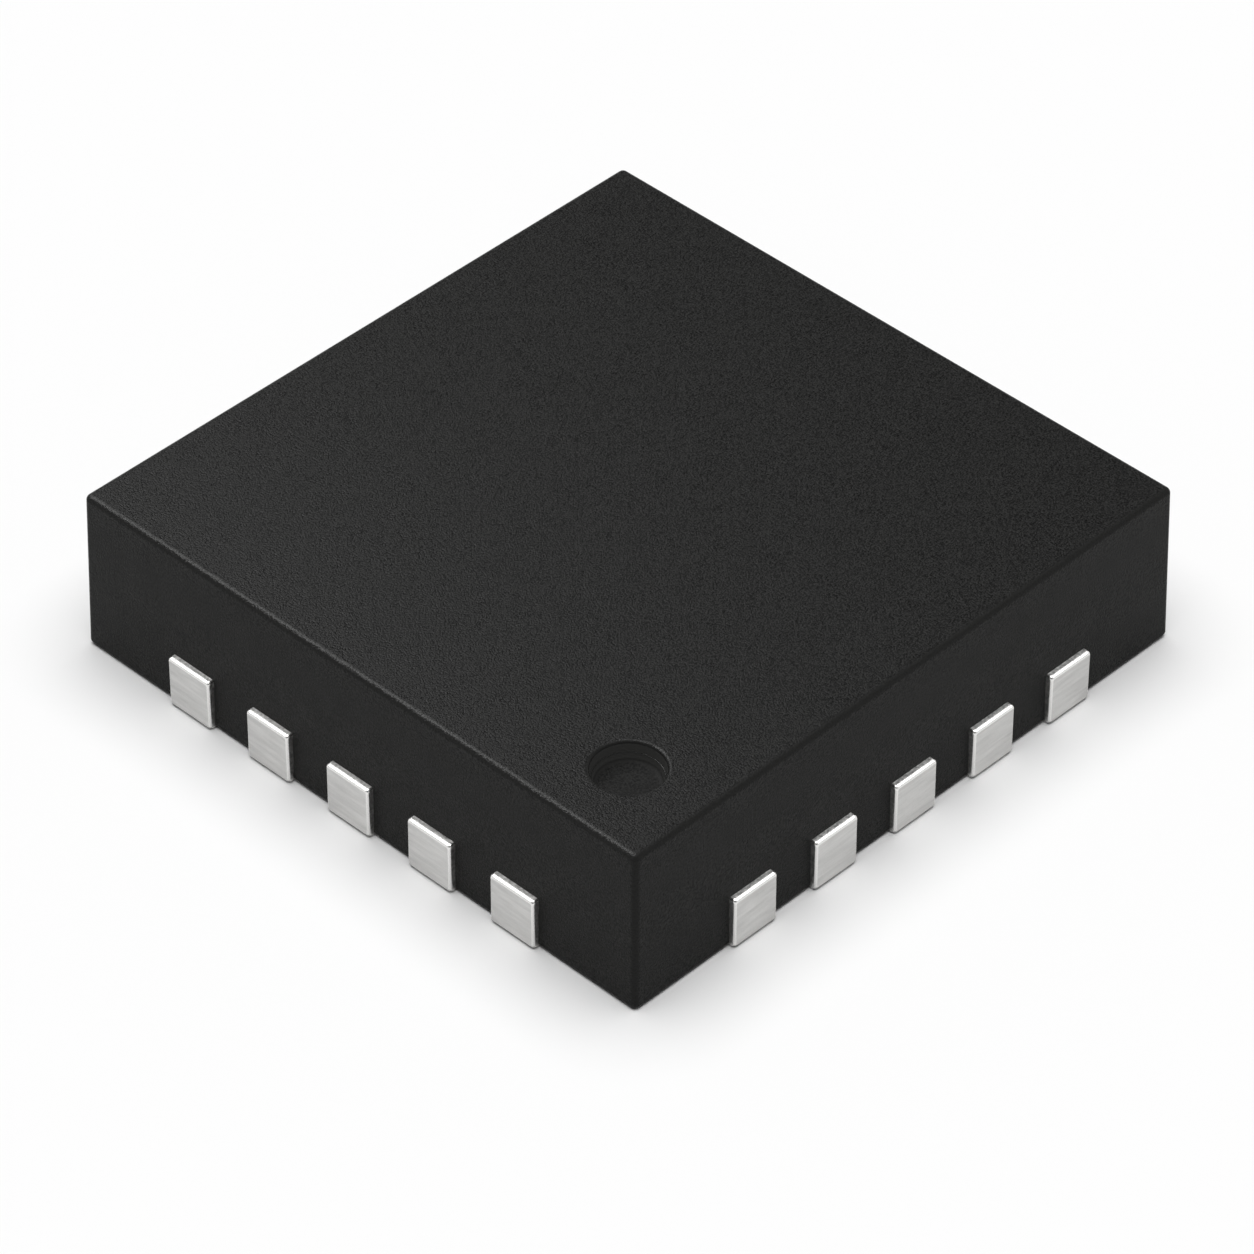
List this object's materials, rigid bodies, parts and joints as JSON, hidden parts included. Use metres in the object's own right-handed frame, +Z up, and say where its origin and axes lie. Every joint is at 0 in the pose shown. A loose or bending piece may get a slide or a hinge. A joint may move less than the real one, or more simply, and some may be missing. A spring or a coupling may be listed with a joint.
{
  "type": "qfn chip",
  "caption": "Square flat no-lead semiconductor package with a black moulded body, tinned leads level with its underside, a soldered-down thermal pad and a pin-one dimple.",
  "frame": {"origin": "bottom centre of the chip, in its seating plane under the leads and the exposed pad", "axes": "+Z up out of the top face; the pin 1 corner with the dimple is at -X and -Y; leads 1 to 5 run along the -Y side towards +X and the numbers go on counter-clockwise seen from above"},
  "size_m": [0.0034, 0.0034, 0.0009],
  "materials": {
    "mould_compound": "black filled epoxy with a fine spark-eroded mould grain",
    "tinned_lead": "matte tin plating on copper alloy, faintly streaked",
    "tinned_pad": "matte tin plating on copper alloy, even fine grain",
    "silver_epoxy": "cured silver-filled adhesive, dull grey",
    "silicon": "polished silicon, dark and opaque",
    "gold_wire": "drawn gold wire, bright"
  },
  "bodies": {
    "root": {"bond_wire_01": "gold_wire", "bond_wire_02": "gold_wire", "bond_wire_03": "gold_wire", "bond_wire_04": "gold_wire", "bond_wire_05": "gold_wire", "bond_wire_06": "gold_wire", "bond_wire_07": "gold_wire", "bond_wire_08": "gold_wire", "bond_wire_09": "gold_wire", "bond_wire_10": "gold_wire", "bond_wire_11": "gold_wire", "bond_wire_12": "gold_wire", "bond_wire_13": "gold_wire", "bond_wire_14": "gold_wire", "bond_wire_15": "gold_wire", "bond_wire_16": "gold_wire", "bond_wire_17": "gold_wire", "bond_wire_18": "gold_wire", "bond_wire_19": "gold_wire", "bond_wire_20": "gold_wire", "die": "silicon", "die_attach": "silver_epoxy", "die_pad": "tinned_pad", "lead_01": "tinned_lead", "lead_02": "tinned_lead", "lead_03": "tinned_lead", "lead_04": "tinned_lead", "lead_05": "tinned_lead", "lead_06": "tinned_lead", "lead_07": "tinned_lead", "lead_08": "tinned_lead", "lead_09": "tinned_lead", "lead_10": "tinned_lead", "lead_11": "tinned_lead", "lead_12": "tinned_lead", "lead_13": "tinned_lead", "lead_14": "tinned_lead", "lead_15": "tinned_lead", "lead_16": "tinned_lead", "lead_17": "tinned_lead", "lead_18": "tinned_lead", "lead_19": "tinned_lead", "lead_20": "tinned_lead", "moulded_body": "mould_compound"}
  },
  "joints": []
}
